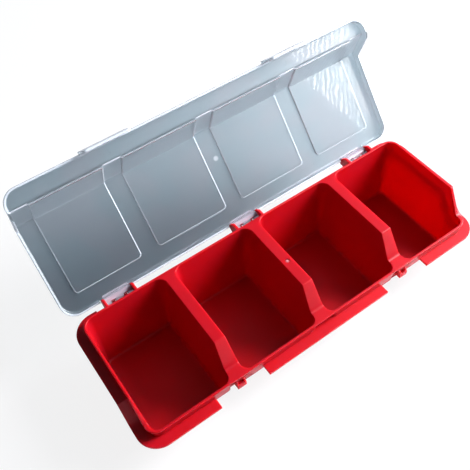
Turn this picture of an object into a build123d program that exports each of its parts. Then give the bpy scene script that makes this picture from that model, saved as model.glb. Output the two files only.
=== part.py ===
"""Compartment storage box: a tray with four compartments and a clear lid on three snap hinges.

Millimetres. X runs along the box, Y from the front to the hinges, Z up. The origin is the middle of
the tray's underside. The lid and its two latch tongues are drawn closed and then swung open.
"""
import os
from math import atan2, cos, radians, tan

from build123d import *

# Tray: side profile of the rim, from the hinges to the front
back_height = 59.0
front_height = 39.0
flat_depth = 67.0
slope_run = 12.0
front_depth = 10.0
kink_radius = 1.5
fold_radius = 3.0
rim_round = 0.5

# Tray: compartments, walls and floor
compartments = 4
divider_pitch = 74.0
end_pitch = 69.0
divider_top = 8.5
wall = 1.8
floor_thickness = 2.0
draft = radians(3.9)
cavity_radius = 7.0
floor_fillet = 2.5
lean_height = 28.0
front_lean = radians(22.0)
rib_thickness = 1.5

# Tray: ledge that runs round the box below the rim
ledge_reach = 7.0
ledge_back_reach = 6.0
ledge_drop = 7.6
ledge_thickness = 2.0
ledge_gap = 39.5

# Tray: catch hooks for the latches
hook_width = 7.0
hook_reach = 2.5
hook_height = 7.5
hook_nose = 3.5
hook_drop = 10.5
hook_cheek = 1.2
hook_lip = 1.0

# Tray: mark of the moulding gate on the middle divider
gate_radius = 2.0
gate_depth = 0.6
nub_radius = 0.8
nub_height = 0.5

# Hinges
hinge_inset = 33.0
hinge_behind = 6.8
hinge_below = 5.8
bar_radius = 1.5
ear_gap = 21.0
ear_thickness = 2.0
ear_radius = 3.1
ear_flat = 5.0
ear_root = 14.0
shelf_thickness = 2.0
shelf_clearance = 0.5
opening_angle = 131.2

# Lid
lid_seat = 0.2
lid_wall = 1.5
lid_side_reach = 5.6
lid_front_reach = 3.6
lid_back_reach = 5.5
lid_corner = 11.0
lid_edge = 2.4
lid_fold_radius = 2.0
skirt_depth = 6.0
skirt_thickness = 1.3
pad_depth = 1.5
pad_groove = 13.9
pad_side_margin = 8.3
pad_back_margin = 7.4
pad_radius = 3.0

# Lid: ejector marks on its inner face
mark_radius = 2.3
mark_depth = 0.15
mark_from_back = 3.5
mark_from_front = 3.8
mark_shift = 17.0

# Lid: clip fingers that hold the hinge bars
tab_clearance = 0.2
middle_finger = 6.2
finger_gap = 3.6
clip_clearance = 0.06
clip_thickness = 1.4
clip_mouth = 2.4
mouth_angle = 135.0
skirt_clearance = 0.5
ear_clearance = 0.8
heel_height = 2.4
heel_clearance = 0.15

# Latch tongues
tongue_width = 35.0
tongue_length = 17.0
tongue_thickness = 1.7
tongue_gap = 0.05
tongue_drop = 0.6
tongue_corner = 3.0
bead_length = 14.0
bead_height = 2.2
bead_clearance = 0.3

# Limits for picking edges and for the smallest round
square_limit = 0.01
fold_limit = 0.6
least_radius = 0.3

# Worked out from the sizes above
rim_length = (compartments - 2) * divider_pitch + 2 * end_pitch
rim_depth = flat_depth + slope_run + front_depth
slope_angle = atan2(back_height - front_height, slope_run)
rim_back = rim_depth / 2
rim_front = -rim_depth / 2
kink_y = rim_back - flat_depth
fold_y = kink_y - slope_run
far = rim_length
dividers = [(n - (compartments - 2) / 2) * divider_pitch for n in range(compartments - 1)]
latches = [dividers[0], dividers[-1]]
hinge_pitch = rim_length / 2 - hinge_inset
hinges = [-hinge_pitch, 0, hinge_pitch]
hinge_y = rim_back + hinge_behind
hinge_z = back_height - hinge_below
hinge_axis = Axis((0, hinge_y, hinge_z), (1, 0, 0))
clip_hole = bar_radius + clip_clearance
clip_radius = clip_hole + clip_thickness


def side_profile(raised, kink, fold):
    """The rim's side profile from back to front, moved square to itself by raised."""
    shift = -raised * tan(slope_angle / 2)
    return FilletPolyline(
        (far, back_height + raised),
        (kink_y + shift, back_height + raised),
        (fold_y + shift, front_height + raised),
        (-far, front_height + raised),
        radius=[max(kink + raised, least_radius), max(fold - raised, least_radius)],
    )


def space_below(raised, kink=kink_radius, fold=fold_radius):
    """Everything below the side profile when it is raised by a distance."""
    with BuildPart() as space:
        with BuildSketch(Plane.YZ):
            with BuildLine():
                line = side_profile(raised, kink, fold)
                Polyline(line @ 1, (-far, -far), (far, -far), line @ 0)
            make_face()
        extrude(amount=far, both=True)
    return space.part


def along_rim(edge):
    """True for an edge of the rim or a divider top, and false for a line across a fold."""
    for place in (edge @ 0, edge @ 0.5, edge @ 1):
        slope = (place.Y - fold_y) / slope_run
        height = front_height + (back_height - front_height) * min(max(slope, 0), 1)
        if abs(place.Z - height) > fold_limit or abs(place.Y) > rim_back + square_limit:
            return False
    across = abs(edge.tangent_at().X) > 1 - square_limit
    return not across or abs(edge.center().Y) > rim_back - 2 * wall


def drafted_well(left, right, grow, bottom):
    """A compartment's well from the high rim down to bottom, grown outward by grow."""
    inset = (back_height - bottom) * tan(draft)
    front = rim_front + wall - (back_height - front_height) * tan(draft)
    back = rim_back - wall
    width = right - left + 2 * grow
    depth = back - front + 2 * grow
    middle = ((left + right) / 2, (front + back) / 2)
    with BuildPart() as well:
        with BuildSketch(Plane.XY.offset(back_height)):
            with Locations(middle):
                RectangleRounded(width, depth, cavity_radius + grow)
        with BuildSketch(Plane.XY.offset(bottom)):
            with Locations(middle):
                RectangleRounded(width - 2 * inset, depth - 2 * inset, cavity_radius + grow - inset)
        loft(ruled=True)
    return well.part


def behind_lean(inset, bottom):
    """The space behind the leaning lower front wall's outer face, set in by inset."""
    start = rim_front + (front_height - lean_height) * tan(draft) + inset / cos(front_lean)
    with BuildPart() as space:
        with BuildSketch(Plane.YZ):
            Polygon(
                (start + (lean_height - bottom) * tan(front_lean), bottom),
                (far, bottom),
                (far, far),
                (start - (far - lean_height) * tan(front_lean), far),
                align=None,
            )
        extrude(amount=far, both=True)
    return space.part


# The four compartments, each from its left wall's top edge to its right wall's
lefts = [-rim_length / 2 + wall] + [place + divider_top / 2 for place in dividers]
rights = [place - divider_top / 2 for place in dividers] + [rim_length / 2 - wall]
wells = list(zip(lefts, rights))

# Ledge: a flat lip that follows the side profile, open in front of the latches and at the hinges
hinge_span = 2 * (hinge_pitch + ear_gap / 2 + ear_thickness + ledge_back_reach)
with BuildPart() as ledge:
    with BuildSketch(Plane.XY):
        with Locations((0, (ledge_back_reach - ledge_reach) / 2)):
            RectangleRounded(
                rim_length + 2 * ledge_reach,
                rim_depth + ledge_reach + ledge_back_reach,
                cavity_radius + wall + ledge_reach,
            )
        RectangleRounded(
            rim_length - 4 * wall,
            rim_depth - 4 * wall,
            cavity_radius - wall,
            mode=Mode.SUBTRACT,
        )
        with Locations(*[(place, rim_front - ledge_reach) for place in latches]):
            Rectangle(ledge_gap, 2 * (ledge_reach + wall), mode=Mode.SUBTRACT)
        with Locations((0, rim_back + ledge_back_reach)):
            Rectangle(hinge_span, 2 * (ledge_back_reach + wall), mode=Mode.SUBTRACT)
    extrude(amount=back_height)
    add(space_below(-ledge_drop), mode=Mode.INTERSECT)
    add(space_below(-ledge_drop - ledge_thickness), mode=Mode.SUBTRACT)

# Catch hook, drawn on the middle plane: it hangs from the rim and has a pocket between its cheeks
with BuildPart() as hook:
    with BuildSketch(Plane.YZ):
        Polygon(
            (rim_front + wall, front_height),
            (rim_front, front_height),
            (rim_front, front_height - hook_drop + hook_height),
            (rim_front - hook_reach, front_height - hook_drop + hook_nose),
            (rim_front - hook_reach, front_height - hook_drop),
            (rim_front + wall, front_height - hook_drop),
            align=None,
        )
    extrude(amount=hook_width / 2, both=True)
    with BuildSketch(Plane.YZ):
        Polygon(
            (rim_front, front_height),
            (rim_front, front_height - hook_drop + hook_nose + hook_lip),
            (rim_front - hook_reach + hook_lip, front_height - hook_drop + hook_nose - hook_lip),
            (rim_front - hook_reach + hook_lip, front_height),
            align=None,
        )
    extrude(amount=hook_width / 2 - hook_cheek, both=True, mode=Mode.SUBTRACT)

# Ear that carries one end of a hinge bar, drawn on the middle plane
with BuildPart() as ear:
    with BuildSketch(Plane.YZ):
        with Locations((hinge_y, hinge_z)):
            Circle(ear_radius)
        with Locations((rim_back - wall, back_height)):
            Rectangle(wall + ear_flat, wall, align=(Align.MIN, Align.MAX))
            Rectangle(wall, ear_root, align=(Align.MIN, Align.MAX))
        make_hull()
    extrude(amount=ear_thickness / 2, both=True)

# Tubs: one drafted box round each well, with a leaning lower front
with BuildPart() as tubs:
    for left, right in wells:
        add(drafted_well(left, right, wall, 0))
    add(behind_lean(0, 0), mode=Mode.INTERSECT)
    add(space_below(0), mode=Mode.INTERSECT)

# The space inside the tubs, rounded where it meets the floor
with BuildPart() as hollows:
    for left, right in wells:
        add(drafted_well(left, right, 0, floor_thickness))
    add(behind_lean(wall, floor_thickness), mode=Mode.INTERSECT)
    fillet(hollows.edges().group_by(Axis.Z)[0], radius=floor_fillet)

# Tray: rim and divider tops, tubs, ledge, hooks, ears, small shelves behind the gaps between the
# clip fingers, and ribs under the dividers
rib_width = divider_top + 2 * back_height * tan(draft) - wall
ear_shift = (ear_gap + ear_thickness) / 2
shelf_top = hinge_z - clip_radius - shelf_clearance
shelf_shift = (middle_finger + finger_gap) / 2
with BuildPart() as base_tray:
    with BuildSketch(Plane.XY):
        RectangleRounded(rim_length, rim_depth, cavity_radius + wall)
    extrude(amount=back_height)
    add(space_below(0), mode=Mode.INTERSECT)
    add(space_below(-wall), mode=Mode.SUBTRACT)
    add(tubs.part)
    add(ledge.part)
    with Locations(*[(place, 0, 0) for place in latches]):
        add(hook.part)
    with Locations(*[(place + side * ear_shift, 0, 0) for place in hinges for side in (-1, 1)]):
        add(ear.part)
    shelf_places = [place + side * shelf_shift for place in hinges for side in (-1, 1)]
    with Locations(*[(place, rim_back - wall, shelf_top) for place in shelf_places]):
        Box(
            finger_gap - 2 * tab_clearance,
            hinge_y + wall - rim_back + shelf_clearance,
            shelf_thickness,
            align=(Align.CENTER, Align.MIN, Align.MAX),
        )
    with Locations(*[(place, 0, 0) for place in dividers]):
        Box(
            rib_width,
            rib_thickness,
            back_height - wall / 2,
            align=(Align.CENTER, Align.CENTER, Align.MIN),
        )
    add(hollows.part, mode=Mode.SUBTRACT)
    fillet(base_tray.edges().filter_by(along_rim), radius=rim_round)
    with Locations((0, 0, back_height - gate_depth)):
        Cylinder(
            gate_radius,
            gate_depth,
            align=(Align.CENTER, Align.CENTER, Align.MIN),
            mode=Mode.SUBTRACT,
        )
        Cylinder(nub_radius, nub_height, align=(Align.CENTER, Align.CENTER, Align.MIN))

# Hinge bars between the ears
hinge_names = ["left", "middle", "right"]
hinge_bars = {}
for name, place in zip(hinge_names, hinges):
    with BuildPart() as hinge_bar:
        with BuildSketch(Plane.YZ.offset(place)):
            with Locations((hinge_y, hinge_z)):
                Circle(bar_radius)
        extrude(amount=ear_gap / 2, both=True)
    hinge_bars["hinge_bar_" + name] = hinge_bar.part

# Lid: size and middle of its outline
lid_length = rim_length + 2 * lid_side_reach
lid_depth = rim_depth + lid_front_reach + lid_back_reach
lid_middle = (lid_back_reach - lid_front_reach) / 2
lid_front = rim_front - lid_front_reach
lid_back = rim_back + lid_back_reach
tab_width = ear_gap - 2 * tab_clearance
outer_finger = (tab_width - middle_finger) / 2 - finger_gap
outer_shift = (tab_width - outer_finger) / 2
finger_widths = {-outer_shift: outer_finger, 0: middle_finger, outer_shift: outer_finger}
slot_width = ear_thickness + 2 * ear_clearance
slot_depth = 2 * (lid_edge + lid_seat)
skirt_trim = back_height + lid_seat - hinge_z - bar_radius - skirt_clearance


def lid_block(inset, raised, edge):
    """A block below the raised side profile, set in from the lid's outline, with a rounded top edge."""
    with BuildPart() as block:
        with BuildSketch(Plane.XY):
            with Locations((0, lid_middle)):
                RectangleRounded(lid_length - 2 * inset, lid_depth - 2 * inset, lid_corner - inset)
        extrude(amount=back_height + lid_edge)
        add(space_below(raised, lid_fold_radius, lid_fold_radius + raised), mode=Mode.INTERSECT)
        sides = block.faces().filter_by(lambda face: abs(face.normal_at().Z) < square_limit)
        upper = sides.edges().filter_by(lambda side: side.center().Z > front_height / 2)
        fillet(upper.filter_by(lambda side: abs(side.tangent_at().Z) < 1 - square_limit), radius=edge)
    return block.part


def pad_blocks(inset, low, high):
    """A block for each pad between two heights above the profile, set in from the pad's outline."""
    front = fold_y - low * tan(slope_angle / 2) + inset
    back = rim_back - pad_back_margin - inset
    pad_lefts = [-rim_length / 2 + pad_side_margin] + [place + pad_groove / 2 for place in dividers]
    pad_rights = [place - pad_groove / 2 for place in dividers] + [rim_length / 2 - pad_side_margin]
    with BuildPart() as blocks:
        for left, right in zip(pad_lefts, pad_rights):
            with BuildSketch(Plane.XY):
                with Locations(((left + right) / 2, back)):
                    Rectangle(right - left - 2 * inset, back - front, align=(Align.CENTER, Align.MAX))
            extrude(amount=far)
        upright = blocks.edges().filter_by(Axis.Z).filter_by(lambda edge: edge.center().Y > 0)
        fillet(upright, radius=pad_radius - inset)
        add(space_below(high, lid_fold_radius, lid_fold_radius), mode=Mode.INTERSECT)
        add(space_below(low, lid_fold_radius, 0), mode=Mode.SUBTRACT)
    return blocks.part


# Lid as it lies when closed: panel and skirt, pads pressed in over the compartments, hinge tabs
with BuildPart() as closed_lid:
    add(lid_block(0, lid_seat + lid_wall, lid_edge))
    add(lid_block(skirt_thickness, lid_seat, lid_edge - skirt_thickness), mode=Mode.SUBTRACT)
    add(space_below(lid_seat - skirt_depth), mode=Mode.SUBTRACT)
    add(pad_blocks(0, lid_seat - pad_depth, lid_seat + lid_wall))
    add(pad_blocks(lid_wall, lid_seat - pad_depth + lid_wall, 2 * lid_wall), mode=Mode.SUBTRACT)
    for place in hinges:
        with Locations(*[(place + side * ear_shift, lid_back, back_height + lid_seat) for side in (-1, 1)]):
            Box(
                slot_width,
                slot_depth,
                2 * skirt_depth,
                align=(Align.CENTER, Align.CENTER, Align.MAX),
                mode=Mode.SUBTRACT,
            )
        with Locations((place, lid_back, back_height + lid_seat - skirt_trim)):
            Box(
                2 * ear_shift,
                slot_depth,
                skirt_depth,
                align=(Align.CENTER, Align.CENTER, Align.MAX),
                mode=Mode.SUBTRACT,
            )
        with BuildSketch(Plane.XY.offset(back_height + lid_seat)):
            with Locations((place, hinge_y + clip_radius)):
                Rectangle(tab_width, hinge_behind + clip_radius, align=(Align.CENTER, Align.MAX))
        extrude(amount=lid_wall)
        for shift, width in finger_widths.items():
            with BuildSketch(Plane.YZ.offset(place + shift)):
                with Locations((hinge_y, hinge_z)):
                    Circle(clip_radius)
                    Rectangle(2 * clip_radius, hinge_below + lid_seat, align=(Align.CENTER, Align.MIN))
                    Circle(clip_hole, mode=Mode.SUBTRACT)
                    with Locations(Location((0, 0, 0), (0, 0, mouth_angle))):
                        Rectangle(
                            2 * clip_radius,
                            clip_mouth,
                            align=(Align.MIN, Align.CENTER),
                            mode=Mode.SUBTRACT,
                        )
            extrude(amount=width / 2, both=True)
        with BuildSketch(Plane.YZ.offset(place)):
            with Locations((hinge_y, hinge_z)):
                Circle(clip_radius)
                Rectangle(clip_radius, clip_radius, align=Align.MAX, mode=Mode.INTERSECT)
                Circle(clip_hole, mode=Mode.SUBTRACT)
        extrude(amount=tab_width / 2, both=True)
    back_marks = [(place, rim_back - mark_from_back, back_height) for place in latches]
    back_marks += [(side * mark_shift, rim_back - mark_from_back, back_height) for side in (-1, 1)]
    front_marks = [(place, rim_front + mark_from_front, front_height) for place in dividers]
    with Locations(*back_marks, *front_marks):
        Cylinder(
            mark_radius,
            lid_seat + mark_depth,
            align=(Align.CENTER, Align.CENTER, Align.MIN),
            mode=Mode.SUBTRACT,
        )
    with Locations((0, 0, back_height + lid_seat + lid_wall)):
        Cylinder(nub_radius, nub_height, align=(Align.CENTER, Align.CENTER, Align.MIN))

# Lid as it stands open, with the heels on its outer fingers that rest on the tray's back wall
with BuildPart() as lid:
    add(closed_lid.part.rotate(hinge_axis, -opening_angle))
    heel_length = hinge_behind - heel_clearance - clip_hole - clip_thickness / 2
    heel_places = [place + side * outer_shift for place in hinges for side in (-1, 1)]
    with Locations(*[(place, rim_back + heel_clearance, hinge_z) for place in heel_places]):
        Box(outer_finger, heel_length, heel_height, align=(Align.CENTER, Align.MIN, Align.CENTER))

# Latch tongues: hung on the front skirt's outer face, each with a bead that faces the hook
tongue_inner = lid_front - tongue_gap
tongue_top = front_height + lid_seat - tongue_drop
tongue_bottom = front_height + lid_seat - tongue_length
bead_tip = rim_front - hook_reach - bead_clearance
bead_top = front_height - hook_drop - bead_clearance
latch_tongues = {}
for name, place in zip(["left", "right"], latches):
    with BuildPart() as closed_tongue:
        with BuildSketch(Plane.XZ.offset(-tongue_inner)):
            with Locations((place, tongue_top)):
                Rectangle(tongue_width, tongue_top - tongue_bottom, align=(Align.CENTER, Align.MAX))
        extrude(amount=tongue_thickness)
        fillet(closed_tongue.edges().filter_by(Axis.Y).group_by(Axis.Z)[0], radius=tongue_corner)
        with BuildSketch(Plane.YZ.offset(place)):
            Polygon(
                (tongue_inner, bead_top),
                (bead_tip, bead_top),
                (tongue_inner, bead_top - bead_height),
                align=None,
            )
        extrude(amount=bead_length / 2, both=True)
    with BuildPart() as latch_tongue:
        add(closed_tongue.part.rotate(hinge_axis, -opening_angle))
    latch_tongues["latch_tongue_" + name] = latch_tongue.part

# Write each piece
pieces = {"base_tray": base_tray.part, **hinge_bars, "lid": lid.part, **latch_tongues}
os.makedirs("parts", exist_ok=True)
for name, piece in pieces.items():
    piece.label = name
    export_step(piece, "parts/" + name + ".step")
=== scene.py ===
# %% [markdown]
# # A compartment storage box in red and clear polypropylene
# This file dresses a long parts box: a red tray with four compartments and a clear lid that stands
# open on three snap hinges. Both are injection mouldings. Their shapes come from a CAD model, which
# is loaded as a fixed frame with one body for each part that moves.
#
# The box could be modelled again in Blender from cubes. The CAD shapes are exact already, so each
# moulding starts as a copy of its CAD node here, and the work goes into what a drawing lacks: soft
# edges, plastics, a camera, a floor and light.

from math import radians

import bmesh
import bpy
from mathutils import Matrix, Vector


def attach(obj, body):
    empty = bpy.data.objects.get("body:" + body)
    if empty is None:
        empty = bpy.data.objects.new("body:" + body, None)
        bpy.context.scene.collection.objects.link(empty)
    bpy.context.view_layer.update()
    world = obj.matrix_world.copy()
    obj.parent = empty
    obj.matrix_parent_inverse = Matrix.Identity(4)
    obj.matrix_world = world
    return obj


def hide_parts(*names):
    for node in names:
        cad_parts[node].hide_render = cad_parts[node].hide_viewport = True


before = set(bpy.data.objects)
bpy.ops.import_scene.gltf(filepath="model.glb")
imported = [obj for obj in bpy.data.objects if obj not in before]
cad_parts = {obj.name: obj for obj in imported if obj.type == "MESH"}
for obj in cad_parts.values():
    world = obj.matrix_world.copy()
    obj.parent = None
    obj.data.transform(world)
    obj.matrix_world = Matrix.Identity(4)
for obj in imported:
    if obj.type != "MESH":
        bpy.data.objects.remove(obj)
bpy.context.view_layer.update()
MM = 0.001
print("nodes:", sorted(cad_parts))

# %% [markdown]
# ## Camera
# The photograph looks down on the box from its front left corner, through a lens close to a normal
# one. A camera could be set by eye, or by a helper that aims at the middle of the object, but then
# the edges don't fall where they do in the picture. So the place and the directions come from a fit
# to the box's edges and are written as numbers. The lens isn't shifted.

# %% Camera
CAMERA_PLACE = Vector((-167.9, -195.4, 435.0)) * MM
CAMERA_FORWARD = Vector((0.32286, 0.50368, -0.80129))
CAMERA_RIGHT = Vector((0.81365, -0.58019, -0.03686))
SENSOR_WIDTH, FOCAL_LENGTH = 36.0, 48.97

backward = -CAMERA_FORWARD.normalized()
rightward = (CAMERA_RIGHT - CAMERA_RIGHT.dot(backward) * backward).normalized()
upward = backward.cross(rightward)
camera_data = bpy.data.cameras.new("camera")
camera_data.sensor_width = SENSOR_WIDTH
camera_data.lens = FOCAL_LENGTH
camera = bpy.data.objects.new("camera", camera_data)
bpy.context.scene.collection.objects.link(camera)
turn = Matrix((rightward, upward, backward)).transposed().to_4x4()
camera.matrix_world = Matrix.Translation(CAMERA_PLACE) @ turn
bpy.context.scene.camera = camera
print("camera looks along", [round(value, 3) for value in CAMERA_FORWARD])

# %% [markdown]
# ## Colours
# A designer reads a colour off a sample as an sRGB code, and Blender wants linear values. The codes
# could be turned by hand once and pasted in, but then nobody can read them. One function turns them
# where they are used, and the codes stay in sight.

# %% Colours
def colour(code):
    """A linear RGBA colour from an sRGB code such as d21020."""
    parts = [int(code[place:place + 2], 16) / 255 for place in (0, 2, 4)]
    linear = [part / 12.92 if part <= 0.04045 else ((part + 0.055) / 1.055) ** 2.4 for part in parts]
    return linear + [1.0]


print("mid grey 808080 in linear values:", [round(value, 3) for value in colour("808080")])

# %% [markdown]
# ## Nodes
# A material is a small network of nodes. They could be placed with the mouse in the shader editor.
# In a script one function is enough: it adds a node, sets its numbers, and joins sockets of the
# nodes before it. A second one starts an empty material.

# %% Nodes
def add_node(tree, kind, settings=None, links=None):
    """Add a node, set its properties or sockets by name, and join sockets of other nodes to it."""
    node = tree.nodes.new(kind)
    for name, value in (settings or {}).items():
        if isinstance(name, str) and hasattr(node, name):
            setattr(node, name, value)
        else:
            node.inputs[name].default_value = value
    for name, socket in (links or {}).items():
        tree.links.new(socket, node.inputs[name])
    return node


def new_material(name):
    """An empty node material and its tree."""
    material = bpy.data.materials.new(name)
    material.use_nodes = True
    material.node_tree.nodes.clear()
    print("material", name)
    return material, material.node_tree


# %% [markdown]
# ## What both plastics share
# Polypropylene has a refractive index of about 1.49. It shrinks as it cools in the mould, so its
# skin is never as true as glass: the gloss changes a little from place to place, and there are faint
# dimples. The melt leaves clouds of two close shades. Where the sprue was snapped off, the plastic
# is pale from the stress.
#
# All of this could be painted on an image. Noise textures on object coordinates need no image and
# have real sizes in millimetres, so they are used here.

# %% Skin, clouds and gate
POLYPROPYLENE_IOR = 1.49


def moulded_skin(tree, place, grain, smooth, rough, relief):
    """The uneven gloss and the faint dimples of a moulded skin, with a grain in millimetres."""
    mottle = add_node(tree, "ShaderNodeTexNoise", {"Scale": 1 / (grain * MM), "Detail": 3.0},
                      {"Vector": place.outputs["Object"]})
    polish = add_node(tree, "ShaderNodeMapRange", {"To Min": smooth, "To Max": rough},
                      {"Value": mottle.outputs["Fac"]})
    dimple = add_node(tree, "ShaderNodeBump", {"Strength": relief, "Distance": 0.05 * MM},
                      {"Height": mottle.outputs["Fac"]})
    return polish.outputs["Result"], dimple.outputs["Normal"]


def melt_clouds(tree, place, size, detail, stops):
    """Clouds of two shades, with a size in millimetres. The stops are positions and codes."""
    cloud = add_node(tree, "ShaderNodeTexNoise", {"Scale": 1 / (size * MM), "Detail": detail},
                     {"Vector": place.outputs["Object"]})
    shade = add_node(tree, "ShaderNodeValToRGB", links={"Fac": cloud.outputs["Fac"]})
    for element, (position, code) in zip(shade.color_ramp.elements, stops):
        element.position = position
        element.color = colour(code)
    return shade.outputs["Color"]


def with_gate_mark(tree, place, skin, middle, inner, outer, code):
    """The skin's colour with the pale mark of the gate, from an inner to an outer radius in mm."""
    from_gate = add_node(tree, "ShaderNodeVectorMath", {"operation": "DISTANCE", 1: middle},
                         {0: place.outputs["Object"]})
    snapped = add_node(tree, "ShaderNodeMapRange",
                       {"From Min": inner * MM, "From Max": outer * MM, "To Min": 0.8, "To Max": 0.0},
                       {"Value": from_gate.outputs["Value"]})
    marked = add_node(tree, "ShaderNodeMixRGB", {"Color2": colour(code)},
                      {"Fac": snapped.outputs["Result"], "Color1": skin})
    return marked.outputs["Color"]


print("refractive index of polypropylene:", POLYPROPYLENE_IOR)

# %% [markdown]
# ## Red polypropylene, injection moulded
# The tray is moulded in red polypropylene from a polished mould, which gives the eye a soft gloss.
# The colour is the same all through, with a slight drift where the melt flowed. The walls are thin,
# and red light passes some millimetres through them, so the end wall glows a little where the window
# is behind it. Plain diffuse red would look like paint, so the colour is scattered below the skin,
# and red goes about seven times as far there as green and blue.

# %% Material of the tray
TRAY_GATE = (0.0, 0.0, 59 * MM)

red_plastic, tree = new_material("polypropylene_red_moulded")
place = add_node(tree, "ShaderNodeTexCoord")
red_melt = melt_clouds(tree, place, 45, 2.0, [(0.35, "b90a19"), (0.65, "c00b1b")])
gloss, dimples = moulded_skin(tree, place, 6, 0.32, 0.40, 0.12)
red_skin = with_gate_mark(tree, place, red_melt, TRAY_GATE, 0.8, 1.8, "f09aa0")
plastic = add_node(tree, "ShaderNodeBsdfPrincipled",
                   {"IOR": POLYPROPYLENE_IOR, "Specular IOR Level": 0.28, "Subsurface Weight": 0.9,
                    "Subsurface Radius": (1.0, 0.15, 0.15), "Subsurface Scale": 4.8 * MM},
                   {"Base Color": red_skin, "Roughness": gloss, "Normal": dimples})
add_node(tree, "ShaderNodeOutputMaterial", links={"Surface": plastic.outputs["BSDF"]})
print("the gate of the tray is at", [round(value / MM, 1) for value in TRAY_GATE], "mm")

# %% [markdown]
# ## Natural polypropylene, injection moulded
# The lid is moulded in polypropylene without pigment. The plastic lets light through but scatters
# some of it, so it looks like frosted grey-blue glass that is never quite clear. Where the wall is
# seen along its face, more of the haze adds up and it turns paler.
#
# A volume inside the wall would give that haze, but it is slow and grainy in a thin shell. Here the
# haze is a rough base under a thin polished coat, and Layer Weight makes the slanted walls paler.

# %% Haze of the lid
LID_GATE = (2.0 * MM, 89.5 * MM, 87.7 * MM)

clear_plastic, tree = new_material("polypropylene_natural_moulded")
place = add_node(tree, "ShaderNodeTexCoord")
gloss, dimples = moulded_skin(tree, place, 8, 0.40, 0.46, 0.1)
slant = add_node(tree, "ShaderNodeLayerWeight", {"Blend": 0.5})
haze = add_node(tree, "ShaderNodeMapRange", {"From Min": 0.2, "From Max": 0.6},
                {"Value": slant.outputs["Facing"]})
grey_melt = melt_clouds(tree, place, 30, 1.0, [(0.4, "8a999f"), (0.6, "90999f")])
tint = add_node(tree, "ShaderNodeMixRGB", {"Color2": colour("c8d4da")},
                {"Fac": haze.outputs["Result"], "Color1": grey_melt})
clear_skin = with_gate_mark(tree, place, tint.outputs["Color"], LID_GATE, 1.2, 2.4, "f4f8fa")
print("the gate of the lid is at", [round(value / MM, 1) for value in LID_GATE], "mm")

# %% [markdown]
# ## Ripples at the right end of the lid
# The melt stopped flowing at the right end of the lid, and its skin rippled there. The ripples cross
# the panel at a slant, a little under five millimetres apart, in a three-cornered patch that also
# takes in the lip. They are a tenth of a millimetre or so high, so they catch light and change no
# outline.
#
# They could be modelled, at the price of many faces. A wave texture that bends the polished coat
# alone gives the same glints, and the haze below stays even.

# %% Ripples, and the lid's material
RIPPLE_SPACING, RIPPLE_HEIGHT = 4.8, 0.14
WAVE_AT_SCALE_ONE = 0.314   # how long one wave of the texture is at a scale of 1
PATCH_START, PATCH_END = 186, 192
ACROSS_RIPPLES, UP_THE_PANEL = (1.0, -0.33, -0.38), (0.0, 0.6587, 0.7524)
INTO_PATCH = (1.0, 0.42, 0.48)


def measured_along(tree, place, direction):
    """How far a point lies along a direction, on object coordinates."""
    return add_node(tree, "ShaderNodeVectorMath", {"operation": "DOT_PRODUCT", 1: direction},
                    {0: place.outputs["Object"]}).outputs["Value"]


on_panel = add_node(tree, "ShaderNodeCombineXYZ",
                    links={0: measured_along(tree, place, ACROSS_RIPPLES),
                           1: measured_along(tree, place, UP_THE_PANEL)})
ripple = add_node(tree, "ShaderNodeTexWave",
                  {"Scale": WAVE_AT_SCALE_ONE / (RIPPLE_SPACING * MM), "Distortion": 4.5, "Detail": 1.0,
                   "Detail Scale": 1.5}, {"Vector": on_panel.outputs["Vector"]})
patch = add_node(tree, "ShaderNodeMapRange",
                 {"From Min": PATCH_START * MM, "From Max": PATCH_END * MM},
                 {"Value": measured_along(tree, place, INTO_PATCH)})
wavy = add_node(tree, "ShaderNodeBump", {"Distance": RIPPLE_HEIGHT * MM},
                {"Strength": patch.outputs["Result"], "Height": ripple.outputs["Fac"]})
plastic = add_node(tree, "ShaderNodeBsdfPrincipled",
                   {"IOR": POLYPROPYLENE_IOR, "Transmission Weight": 0.92,
                    "Coat Weight": 0.4, "Coat Roughness": 0.05, "Coat IOR": 1.45},
                   {"Base Color": clear_skin, "Roughness": gloss, "Normal": dimples,
                    "Coat Normal": wavy.outputs["Normal"]})
add_node(tree, "ShaderNodeOutputMaterial", links={"Surface": plastic.outputs["BSDF"]})
print("ripples:", RIPPLE_SPACING, "mm apart and", RIPPLE_HEIGHT, "mm high")

# %% [markdown]
# ## Pale edges and hinge clips
# Light that enters a clear moulding runs inside it and leaves at its edges, so the rim and the
# outlines of the pads look paler than the flat faces. Real light paths would show that only after
# very many bounces, so the edges get the same plastic with less transmission and a pale colour.
#
# The clip fingers are short and thick, and the red bars and ears behind them colour them from inside.
# That glow is painted light: they are the same plastic, made paler and slightly pink, with less grey in
# it.

# %% Materials of the edges and the clips
def plain_natural(name, code, clearness, roughness):
    """Natural polypropylene of one colour, for small parts."""
    material, tree = new_material(name)
    plastic = add_node(tree, "ShaderNodeBsdfPrincipled",
                       {"IOR": POLYPROPYLENE_IOR, "Base Color": colour(code),
                        "Transmission Weight": clearness, "Roughness": roughness})
    add_node(tree, "ShaderNodeOutputMaterial", links={"Surface": plastic.outputs["BSDF"]})
    return material


edge_plastic = plain_natural("polypropylene_natural_edge", "e8eef2", 0.3, 0.25)
# painted glow: the clips' pale pink stands in for red light from the bars and ears behind them
clip_plastic_painted_glow = plain_natural("polypropylene_natural_clip_painted_glow", "f4ecf6", 0.7, 0.2)

# %% [markdown]
# ## From a CAD node to a closed skin
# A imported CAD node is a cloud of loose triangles. Blender could shade it as it is, but no edge could
# be rounded. So a copy is merged into one closed skin first, and triangles that lie in one plane
# are joined into flat faces.

# %% Merge the tray's triangles
def merged_copy(node):
    """A CAD node's mesh as one closed skin, with flat faces joined."""
    shell = bmesh.new()
    shell.from_mesh(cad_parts[node].data)
    bmesh.ops.remove_doubles(shell, verts=shell.verts, dist=0.002 * MM)
    bmesh.ops.dissolve_limit(shell, angle_limit=radians(0.3), verts=shell.verts, edges=shell.edges)
    for face in shell.faces:
        face.material_index = 0
    return shell


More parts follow.
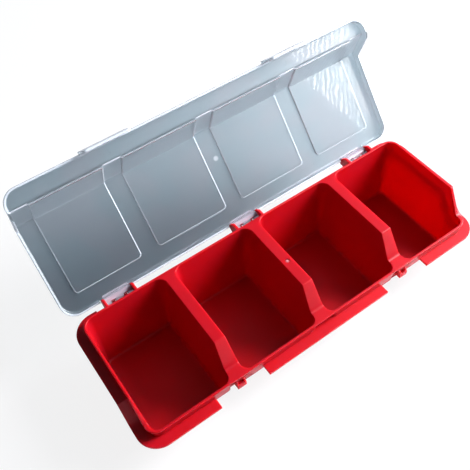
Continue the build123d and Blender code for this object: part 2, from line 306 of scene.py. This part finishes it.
shell = merged_copy("base_tray")
triangles = len(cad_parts["base_tray"].data.polygons)
print("tray:", triangles, "triangles in the CAD node,", len(shell.faces), "faces in the skin")

# %% [markdown]
# ## Soft edges
# No moulded edge is sharp, and each one shows a thin bright line where it catches the light. A Bevel
# modifier could round them all by one width. The tray needs only its crisp outer edges rounded, and
# the lid needs three widths, so the edges are chosen by their angle and length and go through the
# bevel operator.

# %% Round the tray's edges
TRAY_ROUNDING = 0.25


def crisp(edge, least=50):
    """True where two faces meet outwards at more than a given angle in degrees."""
    return len(edge.link_faces) == 2 and edge.is_convex and edge.calc_face_angle() > radians(least)


def soften(shell, edges, width):
    """Round some edges by a width in millimetres and give back the new faces."""
    made = bmesh.ops.bevel(shell, geom=edges, offset=width * MM, segments=3, profile=0.5,
                           affect="EDGES", clamp_overlap=False, material=-1)
    print(len(edges), "edges rounded by", width, "mm")
    return made["faces"]


soften(shell, [edge for edge in shell.edges if crisp(edge) and edge.calc_length() > 1.0 * MM],
       TRAY_ROUNDING)

# %% [markdown]
# ## Tray and hinge bars
# The tray and its three hinge bars are one red moulding. The frame keeps the bars as nodes of their
# own, because the clip fingers turn on them, so they stay separate pieces that ride the tray.
#
# Each finished skin takes the place of its CAD node. Faces are shaded smooth, edges over 28 degrees
# stay sharp, and weighted normals keep the large flat walls straight beside their roundings.

# %% Tray and hinge bars
SHARP_FROM = 28


def moulding(shell, name, node, body, materials):
    """Make the finished skin a piece that rides a body in place of its CAD node."""
    for face in shell.faces:
        face.smooth = True
    mesh = bpy.data.meshes.new(name)
    shell.to_mesh(mesh)
    open_edges = sum(len(edge.link_faces) != 2 for edge in shell.edges)
    print(name, "faces", len(shell.faces), "open edges", open_edges)
    shell.free()
    for material in materials:
        mesh.materials.append(material)
    mesh.set_sharp_from_angle(angle=radians(SHARP_FROM))
    piece = bpy.data.objects.new(name, mesh)
    bpy.context.scene.collection.objects.link(piece)
    flat = piece.modifiers.new("flat faces keep straight normals", "WEIGHTED_NORMAL")
    flat.weight = 100
    flat.keep_sharp = True
    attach(piece, body)
    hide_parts(node)


moulding(shell, "tray_moulding", "base_tray", "tray", [red_plastic])
for side in ("left", "middle", "right"):
    moulding(merged_copy("hinge_bar_" + side), "hinge_bar_moulding_" + side, "hinge_bar_" + side,
             "tray", [red_plastic])

# %% [markdown]
# ## Lid, measured as if it were closed
# The lid is one clear moulding: a panel that slopes down at the front as the tray's rim does, a
# skirt round it, and four pads that are pressed in over the compartments. It stands open, so all of
# its faces lie at a slant.
#
# The edges of the pads could be picked by hand, but a face's number is lost when the model changes.
# So each point is turned back into the closed lid, where rim and pads lie at known heights above
# the tray's side profile. The clip fingers and tabs are found by their place at the hinges.

# %% Measures of the closed lid
HINGE = Vector((0, 51.3, 53.2)) * MM
TO_CLOSED = Matrix.Rotation(radians(131.2), 3, "X")
BACK_HEIGHT, FRONT_HEIGHT, KINK = 59.0, 39.0, -22.5
SLOPE = Vector((-20.0, 12.0)).normalized()
OUTER_HINGE, TAB_HALF_WIDTH, TAB_FRONT, TAB_BACK = 110.0, 13.2, 44.0, 50.1


def closed(point):
    """Where a point of the open lid lies when the lid is closed, in millimetres."""
    return (TO_CLOSED @ (point - HINGE) + HINGE) / MM


def raised(point):
    """How far a point of the lid lies above the tray's side profile when the lid is closed."""
    place = closed(point)
    above_slope = SLOPE.x * (place.y - KINK) + SLOPE.y * (place.z - BACK_HEIGHT)
    return max(place.z - BACK_HEIGHT, min(above_slope, place.z - FRONT_HEIGHT))


def near_hinge(point):
    """True for the clip fingers and tabs, which stay clear."""
    place = closed(point)
    from_hinge = min(abs(place.x), abs(abs(place.x) - OUTER_HINGE))
    return place.y > TAB_BACK or (place.y > TAB_FRONT and from_hinge < TAB_HALF_WIDTH)


shell = merged_copy("lid")
print("closed, the lid reaches up to", round(max(closed(vert.co).z for vert in shell.verts), 1), "mm")

# %% [markdown]
# ## Outlines of the pads and the rim
# A pad's outline shows as a broad pale line, because the plastic turns round a soft corner there.
# The rim is crisper. Both are rounded with the same operator, each with its own width, and the new
# faces are remembered, because they become pale.

# %% Round the pads and the rim
PAD_FACE, SKIRT_RIM = -1.3, -5.8
PAD_ROUNDING, RIM_ROUNDING = 0.7, 0.3

pad_edges = [edge for edge in shell.edges
             if crisp(edge) and all(abs(raised(vert.co) - PAD_FACE) < 0.2 for vert in edge.verts)]
pale = soften(shell, pad_edges, PAD_ROUNDING)
rim_edges = [edge for edge in shell.edges
             if crisp(edge) and all(abs(raised(vert.co) - SKIRT_RIM) < 0.1 and not near_hinge(vert.co)
                                    for vert in edge.verts)]
pale += soften(shell, rim_edges, RIM_ROUNDING)

# %% [markdown]
# ## The fold between the slope and the lip
# In front of the pads the lid folds from its slope into a flat lip. The fold shows as a pale line
# that steps down where a pad crosses it: it is pale all the way beside the pads, and only at its
# inner edge along them. The faces of the fold run from end to end of the lid, so they are cut with
# planes at the sides of the pads first.

# %% Cut the fold at the sides of the pads
FOLD_FRONT, FOLD_BACK = -35.6, -33.9
PAD_SIDES = (6.9, 67.0, 80.9, 134.7)

for side in [-side for side in reversed(PAD_SIDES)] + list(PAD_SIDES):
    fold = [face for face in shell.faces
            if all(FOLD_FRONT < closed(vert.co).y < FOLD_BACK for vert in face.verts)]
    fold_edges = list({edge for face in fold for edge in face.edges})
    fold_verts = list({vert for face in fold for vert in face.verts})
    bmesh.ops.bisect_plane(shell, geom=fold + fold_edges + fold_verts,
                           plane_co=(side * MM, 0, 0), plane_no=(1, 0, 0), dist=0.001 * MM)
shell.normal_update()
print("faces of the lid after the cuts:", len(shell.faces))

# %% [markdown]
# ## Pale faces of the lid
# Four groups of faces are pale: the rim, the walls of the pads, the fold, and the small wall where a
# pad meets the fold. They could be painted by hand in edit mode. Here each group is known by its
# height or its place in the closed lid, so that no face has to be listed.

# %% Share out the lid's materials
def looks_pale(face):
    """True for a face of the rim, of a pad's wall, of the fold or of the wall behind it."""
    places = [closed(vert.co) for vert in face.verts]
    heights = [raised(vert.co) for vert in face.verts]
    from_middle = abs(sum(places, Vector()).x / len(places))
    inner, left_side, right_side, outer = PAD_SIDES
    beside_pads = from_middle < inner or left_side < from_middle < right_side or from_middle > outer
    fold_from = -35.2 if beside_pads else -34.45
    on_rim = max(heights) < SKIRT_RIM + 0.1
    on_pad_wall = PAD_FACE - 0.1 < min(heights) < PAD_FACE + 0.6 and 0.1 < max(heights) < 0.3
    on_fold = all(fold_from < place.y < FOLD_BACK and place.z < 40.3 for place in places)
    on_front_wall = all(FOLD_BACK < place.y < -33.6 for place in places)
    return on_rim or on_pad_wall or on_fold or on_front_wall


for face in shell.faces:
    at_hinge = [near_hinge(vert.co) for vert in face.verts]
    if not any(at_hinge):
        if looks_pale(face):
            pale.append(face)
    elif all(at_hinge):
        # the clip faces take the paler plastic whose pink is a painted glow
        face.material_index = 2
for face in pale:
    if face.is_valid:
        face.material_index = 1
print("pale faces:", sum(face.material_index == 1 for face in shell.faces),
      "clip faces:", sum(face.material_index == 2 for face in shell.faces))
moulding(shell, "lid_moulding", "lid", "cover", [clear_plastic, edge_plastic, clip_plastic_painted_glow])

# %% [markdown]
# ## Latch tongues
# Two thin tongues stand on the lip of the lid. When it closes they snap over the hooks of the tray.
# On the real box they are moulded with the lid and bend at the root. They could stay one piece with
# it and bend by a deforming modifier, but the frame gives each one a body of its own, so each is a
# piece that can turn. Their roundings and undersides catch the light and are pale, and the rest is
# as clear as the lid.

# %% Latch tongues
for side in ("left", "right"):
    shell = merged_copy("latch_tongue_" + side)
    pale = soften(shell, [edge for edge in shell.edges if crisp(edge)], RIM_ROUNDING)
    shell.normal_update()
    pale += [face for face in shell.faces if (TO_CLOSED @ face.normal).z < -0.3]
    for face in pale:
        face.material_index = 1
    moulding(shell, "latch_tongue_moulding_" + side, "latch_tongue_" + side, "tongue_" + side,
             [clear_plastic, edge_plastic])

# %% [markdown]
# ## Floor
# The box stands on a plain pale floor. A brighter lamp would turn it white, but it would bleach the
# box as well. So the floor itself is mixed by the kind of ray: to the camera it is mostly white and
# keeps a little of the box's soft shadow. Through the clear lid and in gloss it is nearly the paint
# in its real shade, and that makes the lid fall from pale at the right to dark at the left.

# %% Floor
WHITE_TO_CAMERA, WHITE_IN_GLOSS = 0.86, 0.12
FLOOR_HALF_WIDTH = 3.0

floor_paint, tree = new_material("floor_paint_white")
paint = add_node(tree, "ShaderNodeBsdfDiffuse", {"Color": colour("f4f4f4")})
white = add_node(tree, "ShaderNodeEmission", {"Color": colour("ffffff"), "Strength": 1.0})
path = add_node(tree, "ShaderNodeLightPath")
through = add_node(tree, "ShaderNodeMath", {"operation": "MAXIMUM"},
                   {0: path.outputs["Is Glossy Ray"], 1: path.outputs["Is Transmission Ray"]})
faint = add_node(tree, "ShaderNodeMath", {"operation": "MULTIPLY", 1: WHITE_IN_GLOSS},
                 {0: through.outputs["Value"]})
share = add_node(tree, "ShaderNodeMath", {"operation": "MULTIPLY_ADD", 1: WHITE_TO_CAMERA},
                 {0: path.outputs["Is Camera Ray"], 2: faint.outputs["Value"]})
mixed = add_node(tree, "ShaderNodeMixShader",
                 links={0: share.outputs["Value"], 1: paint.outputs["BSDF"],
                        2: white.outputs["Emission"]})
add_node(tree, "ShaderNodeOutputMaterial", links={"Surface": mixed.outputs["Shader"]})

plane = bmesh.new()
bmesh.ops.create_grid(plane, x_segments=1, y_segments=1, size=FLOOR_HALF_WIDTH)
floor_mesh = bpy.data.meshes.new("floor")
plane.to_mesh(floor_mesh)
plane.free()
floor_mesh.materials.append(floor_paint)
floor = bpy.data.objects.new("floor", floor_mesh)
bpy.context.scene.collection.objects.link(floor)
print("floor at height 0, half as wide as", FLOOR_HALF_WIDTH, "m")

# %% [markdown]
# ## Light
# The photograph has one main light. A tall soft window stands low on the right and a little in
# front, so the dividers shade the compartments and the left side stays dark. Several lamps round the
# box would be more even, but they would fill these shades.
#
# A pale card further in front only shows in gloss. A flat lid mirrors it just past its right end,
# and the ripples catch it there in bright strokes.

# %% Lamps
def soft_lamp(name, place, aim, size, watts, tint, upright=(0, 0, 1)):
    """A rectangular soft lamp at a place in metres that shines at an aim point and stays upright."""
    lamp_data = bpy.data.lights.new(name, "AREA")
    lamp_data.shape = "RECTANGLE"
    lamp_data.size, lamp_data.size_y = size
    lamp_data.energy = watts
    lamp_data.color = colour(tint)[:3]
    lamp = bpy.data.objects.new(name, lamp_data)
    bpy.context.scene.collection.objects.link(lamp)
    away = (Vector(place) - Vector(aim)).normalized()
    side = Vector(upright).cross(away).normalized()
    turn = Matrix((side, away.cross(side), away)).transposed().to_4x4()
    lamp.matrix_world = Matrix.Translation(Vector(place)) @ turn
    print("lamp", name, "with", watts, "W")
    return lamp


soft_lamp("window", (0.96, -0.22, 0.69), (0.0, 0.02, 0.04), (0.45, 0.76), 43.0, "f8faff")
card = soft_lamp("card", (0.597, -0.36, 0.46), (0.13, 0.09, 0.09), (0.128, 0.36), 3.6, "ffffff",
                 upright=(0, 0.66, 0.75))
card.visible_diffuse = False
card.visible_transmission = False

# %% [markdown]
# ## Room
# The room is dim on the left, and its wall on the right is pale blue with daylight, which the rims
# pick up as a pinkish shine. A panorama picture could stand in for the room. A few nodes on the
# direction are enough, because the box mirrors it only softly.
#
# Rays from the camera meet plain white. Glossy and clear surfaces see a tenth of that white as well,
# and it lights nothing else.

# %% Room
DIM, BRIGHT = 0.06, 0.7
WHITE_IN_CLEAR = 0.1

world = bpy.data.worlds.new("room")
bpy.context.scene.world = world
world.use_nodes = True
tree = world.node_tree
tree.nodes.clear()
direction = add_node(tree, "ShaderNodeTexCoord")
axes = add_node(tree, "ShaderNodeSeparateXYZ", links={0: direction.outputs["Generated"]})
daylight = add_node(tree, "ShaderNodeMapRange",
                    {"interpolation_type": "SMOOTHSTEP", "From Min": 0.1, "From Max": 0.8,
                     "To Min": DIM, "To Max": BRIGHT}, {"Value": axes.outputs["X"]})
room = add_node(tree, "ShaderNodeBackground", {"Color": colour("bcd2ff")},
                {"Strength": daylight.outputs["Result"]})
path = add_node(tree, "ShaderNodeLightPath")
clear = add_node(tree, "ShaderNodeMath", {"operation": "MAXIMUM"},
                 {0: path.outputs["Is Glossy Ray"], 1: path.outputs["Is Transmission Ray"]})
low = add_node(tree, "ShaderNodeMath", {"operation": "MULTIPLY", 1: WHITE_IN_CLEAR},
               {0: clear.outputs["Value"]})
seen = add_node(tree, "ShaderNodeMath", {"operation": "MAXIMUM"},
                {0: low.outputs["Value"], 1: path.outputs["Is Camera Ray"]})
white = add_node(tree, "ShaderNodeBackground", {"Color": colour("ffffff"), "Strength": 1.0})
mixed = add_node(tree, "ShaderNodeMixShader",
                 links={0: seen.outputs["Value"], 1: room.outputs["Background"],
                        2: white.outputs["Background"]})
add_node(tree, "ShaderNodeOutputWorld", links={"Surface": mixed.outputs["Shader"]})
bpy.context.scene.view_settings.view_transform = "Standard"
print("the room's light goes from", DIM, "on the left to", BRIGHT, "on the right")
